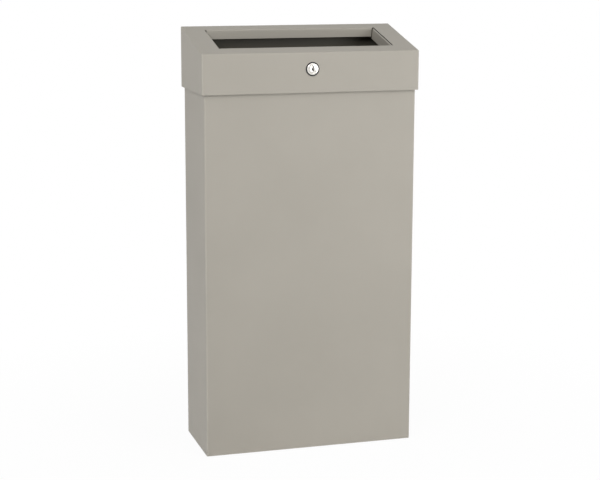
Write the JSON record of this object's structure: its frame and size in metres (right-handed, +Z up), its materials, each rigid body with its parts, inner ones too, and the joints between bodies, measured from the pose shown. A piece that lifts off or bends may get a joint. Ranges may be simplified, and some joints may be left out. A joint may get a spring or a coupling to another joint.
{
  "type": "steel waste bin",
  "caption": "Slim rectangular waste bin of folded, powder-coated sheet steel with a sloping lift-off hood, an open mouth in its top, a cam lock in front and a swinging bag frame inside.",
  "frame": {"origin": "centre of the bin's footprint at the floor, under its rubber feet", "axes": "+Z up, -Y towards the lock and the low front of the hood, +X to the right of someone who stands in front of it"},
  "size_m": [0.338, 0.1438, 0.649],
  "materials": {
    "body_paint": "satin warm-grey powder coat",
    "hood_paint": "satin warm-grey powder coat",
    "zinc_steel": "bright zinc plate",
    "bright_rod": "bright drawn steel rod",
    "lock_chrome": "polished chrome plate",
    "black_rubber": "matt black rubber"
  },
  "bodies": {
    "bin": {"body_shell": "body_paint", "back_panel": "body_paint", "panel_rivets": "zinc_steel", "base_tray": "body_paint", "rubber_feet": "black_rubber", "catch_bracket": "body_paint", "frame_ledge": "body_paint", "hinge_clip_left": "zinc_steel", "hinge_clip_right": "zinc_steel", "clip_rivets": "zinc_steel"},
    "bag_ring": {"bag_frame": "bright_rod"},
    "hood": {"hood_shell": "hood_paint", "end_cheek_left": "hood_paint", "end_cheek_right": "hood_paint", "hood_rest_left": "hood_paint", "hood_rest_right": "hood_paint", "lock_gasket": "black_rubber", "lock_housing": "lock_chrome", "lock_nut": "zinc_steel"},
    "lock_core": {"lock_plug": "lock_chrome", "lock_cam": "zinc_steel", "cam_washer": "zinc_steel", "cam_screw": "zinc_steel"}
  },
  "joints": [
    {"name": "hood_lift", "type": "slide", "parent": "bin", "child": "hood", "axis": [0, 0, 1], "range_m": [0, 0.15]},
    {"name": "lock_turn", "type": "hinge", "parent": "hood", "child": "lock_core", "pos_m": [0, -0.0705, 0.592], "axis": [0, -1, 0], "range_deg": [0, 90]},
    {"name": "frame_swing", "type": "hinge", "parent": "bin", "child": "bag_ring", "pos_m": [0, 0.055, 0.5], "axis": [-1, 0, 0], "range_deg": [0, 94]}
  ]
}
